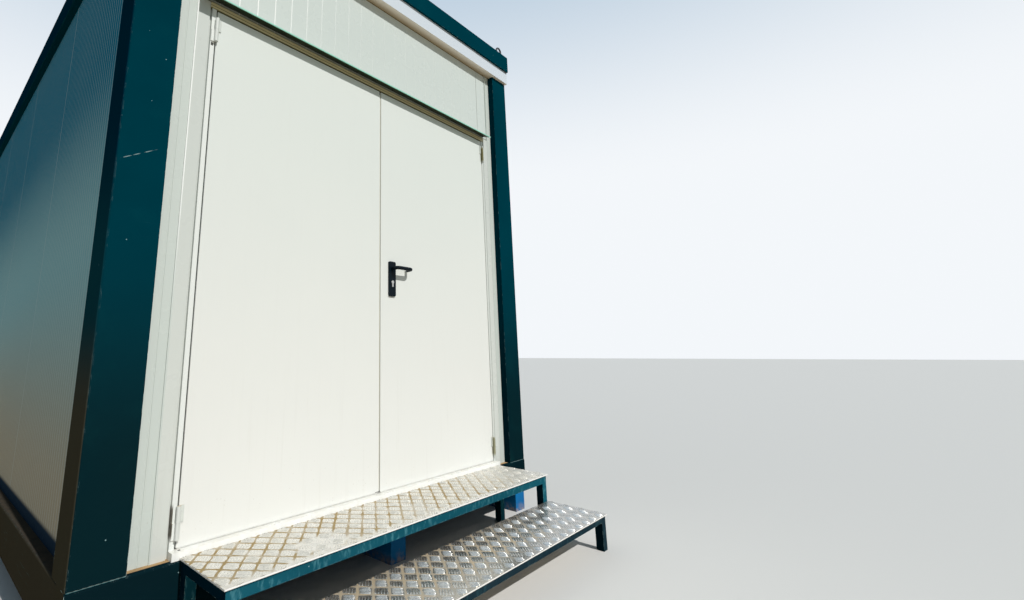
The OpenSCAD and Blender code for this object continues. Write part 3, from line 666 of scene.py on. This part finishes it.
BLACK = black_polymer("black_plastic")
LOCK = satin_metal("lock_steel", (0.62, 0.61, 0.58), 0.25)
EYE = satin_metal("eye_paint", (0.030, 0.030, 0.032), 0.35, metallic=0.3)
ZINC = zinc("zinc_sheet", (0.50, 0.52, 0.53), 0.5)
ROOF = zinc("roof_sheet", (0.56, 0.58, 0.59), 0.35)
BLUE = blue_paint("block_paint")
FLOOR = floor_wood("floor_board")
PALE_SEAL = rubber("pale_seal", (0.42, 0.41, 0.34))
WHITE_SEAL = rubber("white_seal", (0.58, 0.58, 0.55))
DARK_SEAL = rubber("dark_seal", (0.018, 0.018, 0.018))
UPPER_BARS = bar_metal("upper_bars", 0.30, (0.84, 0.82, 0.76))
LOWER_BARS = bar_metal("lower_bars", 0.92, (0.93, 0.93, 0.92), film=0.15)

# A corner of each tread's lattice, (x, y), where the photo shows one
UPPER_ORIGIN = (-0.850, -2.7490)
LOWER_ORIGIN = (-0.239, -3.0999)
UPPER_TREAD = tread_metal("upper_tread_plate", UPPER_ORIGIN,
                          dict(right=0.35, gone_x=0.90, front=-3.000, gone_y=-3.045,
                               bare_x=-0.50, bare_y=-2.965, bare_r=0.075), steel=0.30)
# The lower tread's plate is darker: painted reflection of the dark space under the upper step
LOWER_TREAD = tread_metal("lower_tread_plate", LOWER_ORIGIN,
                          dict(right=0.20, gone_x=1.00, front=-3.22, gone_y=-3.36,
                               bare_x=0.80, bare_y=-3.20, bare_r=0.12), steel=0.93,
                          film=0.20, rough=0.17, soil=(0.42, 0.31, 0.17), depth=0.75, plate=0.66)

# Each CAD node takes its own material here, or else its slot's
BY_SLOT = {
    "frame_paint": TEAL, "step_paint": UPPER_STEP, "panel_paint": PANEL, "trim_paint": TRIM,
    "leaf_paint": LEAF, "door_frame_paint": DOOR_FRAME, "black_plastic": BLACK,
    "lock_steel": LOCK, "zinc_sheet": ZINC, "roof_sheet": ROOF, "floor_board": FLOOR,
    "ceiling_board": INSIDE, "block_paint": BLUE, "eye_paint": EYE, "tread_plate": UPPER_TREAD,
}
BY_NODE = {
    "base_rail_front": RAIL, "base_rail_back": RAIL, "base_rail_left": SIDE_RAIL,
    "base_rail_right": SIDE_RAIL, "post_front_left": GASHED, "front_wall_strip_left": STRIP,
    "over_door_panel": OVER_DOOR, "drip_flashing": FLASHING, "door_head": HEAD,
    "door_threshold": SILL, "lower_step_tread": LOWER_TREAD, "lower_step_frame": LOWER_STEP,
}
for part in frame["record"]["subparts"]:
    name = part["node"]
    if name.startswith(("left_wall_panel", "right_wall_panel")):
        made = SIDE_PANEL
    else:
        made = BY_NODE.get(name) or BY_SLOT[part["material_slot"]]
    cad = frame["nodes"][name]
    cad.data.materials.clear()
    cad.data.materials.append(made)


# Pieces

def add_piece(name, mesh, material, body):
    """Put a mesh in the scene as one smooth piece that moves with a body."""
    mesh.materials.append(material)
    for polygon in mesh.polygons:
        polygon.use_smooth = True
    obj = bpy.data.objects.new(name, mesh)
    SCENE.collection.objects.link(obj)
    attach(obj, body)


def from_lists(name, verts, faces, material, body):
    mesh = bpy.data.meshes.new(name)
    mesh.from_pydata(verts, [], faces)
    mesh.validate()
    mesh.update()
    add_piece(name, mesh, material, body)


def from_bmesh(name, bm, material, body):
    bmesh.ops.recalc_face_normals(bm, faces=bm.faces)
    mesh = bpy.data.meshes.new(name)
    bm.to_mesh(mesh)
    bm.free()
    add_piece(name, mesh, material, body)


# A raised bar's size: half its length and width, its height and how far its rim is sunk
BARS = 5
BAR_HALF_LENGTH = 0.0215
BAR_HALF_WIDTH = 0.0034
BAR_HEIGHT = 0.0017
BAR_SUNK = 0.0004
# Half a bar is this much shorter than half of its neighbour nearer the middle of its group
BAR_SHORTER = 0.0012
# The five bars' pitch as a share of a fifth of the cell's side
BAR_PITCH = 0.93
# How wide and high a bar's tips are as a share of its middle, and how full its sides are
TIP_WIDTH = 0.22
TIP_HEIGHT = 0.12
BAR_FULLNESS = 0.42
# Its sections along its length, and the points of one section: across and up
BAR_STATIONS = (-1, -0.86, -0.5, 0, 0.5, 0.86, 1)
BAR_SECTION = ((-1, 0), (-0.6, 0.72), (0, 1), (0.6, 0.72), (1, 0))
# Bars keep this far from the plate's edges
PLATE_RIM = 0.0015
# More cells each way from the origin than a tread has
MOST_CELLS = 60


def tread_bars(name, node, origin, material):
    """The raised bars of a five-bar plate, cut off at the plate's edges."""
    low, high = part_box(node)
    x0, x1 = low.x + PLATE_RIM, high.x - PLATE_RIM
    y0, y1 = low.y + PLATE_RIM, high.y - PLATE_RIM
    side = math.hypot(CELL_X, CELL_Y)
    falling = (-CELL_X / side, CELL_Y / side)
    rising = (CELL_X / side, CELL_Y / side)
    pitch = side / BARS * BAR_PITCH
    n = len(BAR_SECTION)
    verts, faces = [], []

    def add_bar(bx, by, reach, along, over):
        first = len(verts)
        for s in BAR_STATIONS:
            swell = max(1 - s * s, 0.0) ** BAR_FULLNESS
            wide = TIP_WIDTH + (1 - TIP_WIDTH) * swell
            tall = TIP_HEIGHT + (1 - TIP_HEIGHT) * swell
            for a, h in BAR_SECTION:
                w = BAR_HALF_WIDTH * wide * a
                x = bx + along[0] * s * reach + over[0] * w
                y = by + along[1] * s * reach + over[1] * w
                z = high.z + BAR_HEIGHT * h * tall - (BAR_SUNK if h == 0 else 0)
                verts.append((min(max(x, x0), x1), min(max(y, y0), y1), z))
        last = first + (len(BAR_STATIONS) - 1) * n
        for a in range(first, last, n):
            for r in range(a, a + n - 1):
                faces.append((r, r + 1, r + n + 1, r + n))
        faces.append(tuple(reversed(range(first, first + n))))
        faces.append(tuple(range(last, last + n)))
        for a in range(first, last, n):
            faces.append((a, a + n, a + 2 * n - 1, a + n - 1))

    for i in range(-MOST_CELLS, MOST_CELLS + 1):
        for j in range(-MOST_CELLS, MOST_CELLS + 1):
            cx = origin[0] + CELL_X * (j - i)
            cy = origin[1] + CELL_Y * (i + j + 1)
            along, over = (falling, rising) if (i + j) % 2 else (rising, falling)
            for k in range(BARS):
                from_middle = k - (BARS - 1) / 2
                shift = from_middle * pitch
                bx, by = cx + over[0] * shift, cy + over[1] * shift
                if x0 < bx < x1 and y0 < by < y1:
                    reach = BAR_HALF_LENGTH - BAR_SHORTER * abs(from_middle)
                    add_bar(bx, by, reach, along, over)
    from_lists(name, verts, faces, material, "cabin")


tread_bars("upper_tread_bars", "upper_step_tread", UPPER_ORIGIN, UPPER_BARS)
tread_bars("lower_tread_bars", "lower_step_tread", LOWER_ORIGIN, LOWER_BARS)


# A weld's radius, how far it is sunk, the distance between its ripples and how many sides it has
WELD = 0.0022
WELD_SUNK = 0.0006
WELD_STEP = 0.006
WELD_SIDES = 6
# The radius of its ends as a share of the rest
WELD_TIP = 0.4


def weld_bead(name, start, end, seed):
    """A painted weld from start to end: a tube with the lumps of its ripples."""
    rng = random.Random(seed)
    start, end = Vector(start), Vector(end)
    count = max(2, int((end - start).length / WELD_STEP))
    ahead = (end - start).normalized()
    side = ahead.orthogonal().normalized()
    other = ahead.cross(side)
    verts, faces = [], []
    for k in range(count + 1):
        middle = start.lerp(end, k / count)
        r = WELD * (0.8 + 0.25 * math.sin(k * 2.1) + 0.2 * rng.random())
        if k in (0, count):
            r *= WELD_TIP
        for s in range(WELD_SIDES):
            a = 2 * math.pi * s / WELD_SIDES
            verts.append(tuple(middle + side * (r * math.cos(a)) + other * (r * math.sin(a))))
    for k in range(count):
        for s in range(WELD_SIDES):
            a, b = k * WELD_SIDES + s, k * WELD_SIDES + (s + 1) % WELD_SIDES
            faces.append((a, b, b + WELD_SIDES, a + WELD_SIDES))
    faces.append(tuple(range(WELD_SIDES)))
    last = count * WELD_SIDES
    faces.append(tuple(reversed(range(last, last + WELD_SIDES))))
    from_lists(name, verts, faces, WELD_PAINT, "cabin")


def post_welds():
    """Welds along the foot and head of each post, on the two ends of the cabin."""
    rail_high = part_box("base_rail_front")[1]
    inner_x = rail_high.x - (POST_HIGH.x - POST_LOW.x)
    outer_x = rail_high.x - WELD - WELD_SUNK
    for across, sx, first_seed in (("left", -1, 0), ("right", 1, 7)):
        for along, y, more in (("front", FRONT_Y + WELD_SUNK, 0), ("back", BACK_Y - WELD_SUNK, 3)):
            for part, z in (("foot", rail_high.z), ("head", POST_HIGH.z)):
                weld_bead("weld_%s_%s_%s" % (part, along, across),
                          (sx * inner_x, y, z), (sx * outer_x, y, z),
                          seed=first_seed + more + int(z * 10))


post_welds()


def strip(name, low, high, material, body):
    """A soft strip between two corners, with rounded edges."""
    size = [b - a for a, b in zip(low, high)]
    middle = [(a + b) / 2 for a, b in zip(low, high)]
    bm = bmesh.new()
    bmesh.ops.create_cube(bm, size=1.0)
    bmesh.ops.transform(bm, verts=bm.verts, matrix=Matrix.Diagonal((*size, 1)))
    bmesh.ops.translate(bm, verts=bm.verts, vec=middle)
    bmesh.ops.bevel(bm, geom=list(bm.edges), offset=0.0008, segments=2, affect="EDGES",
                    profile=0.6)
    from_bmesh(name, bm, material, body)


def screw(name, foot, radius, height, material, body):
    """A pan head with a cross recess, standing on its foot."""
    bm = bmesh.new()
    sides = 20
    # Up the head's outside, then over its rim and down into the recess
    outside = [(0.0, 1.0), (0.35, 1.0), (0.75, 0.85), (1.0, 0.50)]
    recess = [(1.0, 0.30), (0.55, 0.20)]
    loops = []
    for rings, crossed in ((outside, False), (recess, True)):
        for h, r in rings:
            loop = []
            for s in range(sides):
                a = 2 * math.pi * s / sides
                reach = radius * r
                if crossed:
                    reach *= 1.25 if s % 5 == 0 else 0.6
                point = Vector((reach * math.cos(a), reach * math.sin(a), h * height))
                loop.append(bm.verts.new(Vector(foot) + point))
            loops.append(loop)
    for one, two in zip(loops, loops[1:]):
        for s in range(sides):
            after = (s + 1) % sides
            bm.faces.new((one[s], one[after], two[after], two[s]))
    bm.faces.new(list(reversed(loops[0])))
    bm.faces.new(loops[-1])
    from_bmesh(name, bm, material, body)


# A seal ends this far before its leaf does
SEAL_SHORT = 0.004
# How far behind the leaves' faces each seal's front and back lie
MEETING_DEPTH = (0.0020, 0.014)
FOOT_DEPTH = (0.0006, 0.013)
HINGE_DEPTH = (0.0030, 0.020)
# The meeting seal stops short of the right leaf, the foot seals reach below and into their
# leaves, and the hinge side's seal starts beside the right leaf
MEETING_GAP = 0.0018
FOOT_DROP = 0.0040
FOOT_SUNK = 0.0002
HINGE_GAP = 0.0012
HINGE_WIDTH = 0.0035
# The threshold's screw: its x, its place behind the threshold's front edge, how far it is sunk,
# and its head
SCREW_X = -0.8964
SCREW_BACK = 0.0193
SCREW_SUNK = 0.0002
SCREW_RADIUS = 0.0048
SCREW_HEIGHT = 0.0009


def door_pieces():
    """The seals in the gaps of the door, and the dark screw at the threshold's left end."""
    left_low, left_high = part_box("door_leaf_left")
    right_low, right_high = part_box("door_leaf_right")
    face_y = left_low.y

    front, back = (face_y + depth for depth in MEETING_DEPTH)
    strip("meeting_seal", (left_high.x, front, left_low.z + SEAL_SHORT),
          (right_low.x - MEETING_GAP, back, left_high.z - SEAL_SHORT),
          PALE_SEAL, "left_door")

    front, back = (face_y + depth for depth in FOOT_DEPTH)
    for name, low, high, body in (("foot_seal_left", left_low, left_high, "left_door"),
                                  ("foot_seal_right", right_low, right_high, "right_door")):
        strip(name, (low.x + SEAL_SHORT, front, low.z - FOOT_DROP),
              (high.x - SEAL_SHORT, back, low.z + FOOT_SUNK),
              WHITE_SEAL, body)

    sill_low, sill_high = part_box("door_threshold")
    screw("threshold_screw", (SCREW_X, sill_low.y + SCREW_BACK, sill_high.z - SCREW_SUNK),
          SCREW_RADIUS, SCREW_HEIGHT, DARK_SEAL, "cabin")

    front, back = (face_y + depth for depth in HINGE_DEPTH)
    seal_x = right_high.x + HINGE_GAP
    strip("right_gap_seal", (seal_x, front, right_low.z + SEAL_SHORT),
          (seal_x + HINGE_WIDTH, back, right_high.z - SEAL_SHORT),
          WHITE_SEAL, "cabin")


door_pieces()


# Floor and light

FLOOR_HALF = 60.0
FLOOR_SEEN = (0.72, 0.71, 0.69)
FLOOR_THROWN = (0.47, 0.41, 0.31)


def pale_floor():
    """A pale floor; what it throws back at the object is darker, so that shade stays deep."""
    s = FLOOR_HALF
    mesh = bpy.data.meshes.new("floor")
    mesh.from_pydata([(-s, -s, 0), (s, -s, 0), (s, s, 0), (-s, s, 0)], [], [(0, 1, 2, 3)])
    floor = bpy.data.objects.new("floor", mesh)
    SCENE.collection.objects.link(floor)
    t = Surface("floor_pale")
    thrown = t.add("ShaderNodeLightPath").outputs["Is Diffuse Ray"]
    t.set(Base_Color=t.mix(thrown, FLOOR_SEEN, FLOOR_THROWN), Roughness=0.9)
    mesh.materials.append(t.material)


pale_floor()

# The soft light on diffuse faces, and the sky that the camera and mirroring faces see
SOFT_COLOUR = (0.62, 0.83, 1.0, 1)
SOFT_STRENGTH = 0.27
SKY_LOW = (0.90, 0.93, 0.96)
SKY_HIGH = (0.40, 0.54, 0.68)
SKY_RUN = (0.30, 0.80)


def studio():
    world = bpy.data.worlds.new("studio")
    SCENE.world = world
    world.use_nodes = True
    w = Nodes(world.node_tree)
    soft = w.add("ShaderNodeBackground")
    soft.inputs["Color"].default_value = SOFT_COLOUR
    soft.inputs["Strength"].default_value = SOFT_STRENGTH
    shown = w.add("ShaderNodeBackground")
    height = w.split(w.add("ShaderNodeTexCoord").outputs["Generated"])[2]
    w.link(w.mix(w.step(height, *SKY_RUN), SKY_LOW, SKY_HIGH), shown.inputs["Color"])
    ray = w.add("ShaderNodeLightPath").outputs
    seen = w.math("MAXIMUM", ray["Is Camera Ray"], ray["Is Glossy Ray"])
    seen = w.math("MAXIMUM", seen, ray["Is Transmission Ray"])
    mixer = w.add("ShaderNodeMixShader")
    for out, socket in zip((seen, soft.outputs[0], shown.outputs[0]), mixer.inputs):
        w.link(out, socket)
    w.link(mixer.outputs[0], w.add("ShaderNodeOutputWorld").inputs["Surface"])


studio()

SUN_STRENGTH = 3.12
SUN_ANGLE = math.radians(0.6)
SUN_COLOUR = (1.0, 0.98, 0.94)
SUN_TRAVELS = Vector((0.02, 1.0, -0.94))
key = bpy.data.objects.new("key", bpy.data.lights.new("key", "SUN"))
key.data.energy = SUN_STRENGTH
key.data.angle = SUN_ANGLE
key.data.color = SUN_COLOUR
key.rotation_euler = SUN_TRAVELS.to_track_quat("-Z", "Y").to_euler()
SCENE.collection.objects.link(key)


# The photo's camera, from a fit to points of the photo: pixels, metres and a rotation vector

IMAGE_W, IMAGE_H = 1024, 600
FOCAL, CENTRE_X, CENTRE_Y = 490.37, 404.83, 250.81
CAMERA_AT = Vector((-1.6438, -4.5037, 0.9502))
ROTATION_VECTOR = Vector((1.2877, -0.5452, 0.6578))
SENSOR = 36.0
camera = bpy.data.objects.new("camera", bpy.data.cameras.new("camera"))
SCENE.collection.objects.link(camera)
camera.data.sensor_width = SENSOR
camera.data.lens = FOCAL / IMAGE_W * SENSOR
camera.data.shift_x = (IMAGE_W / 2 - CENTRE_X) / IMAGE_W
camera.data.shift_y = (CENTRE_Y - IMAGE_H / 2) / IMAGE_W
to_camera = Matrix.Rotation(ROTATION_VECTOR.length, 3, ROTATION_VECTOR.normalized())
right, down, forward = to_camera
facing = Matrix((right, -down, -forward)).transposed()
camera.matrix_world = Matrix.Translation(CAMERA_AT) @ facing.to_4x4()
camera.data.clip_start, camera.data.clip_end = 0.02, 200
SCENE.camera = camera
SCENE.view_settings.view_transform = "Standard"
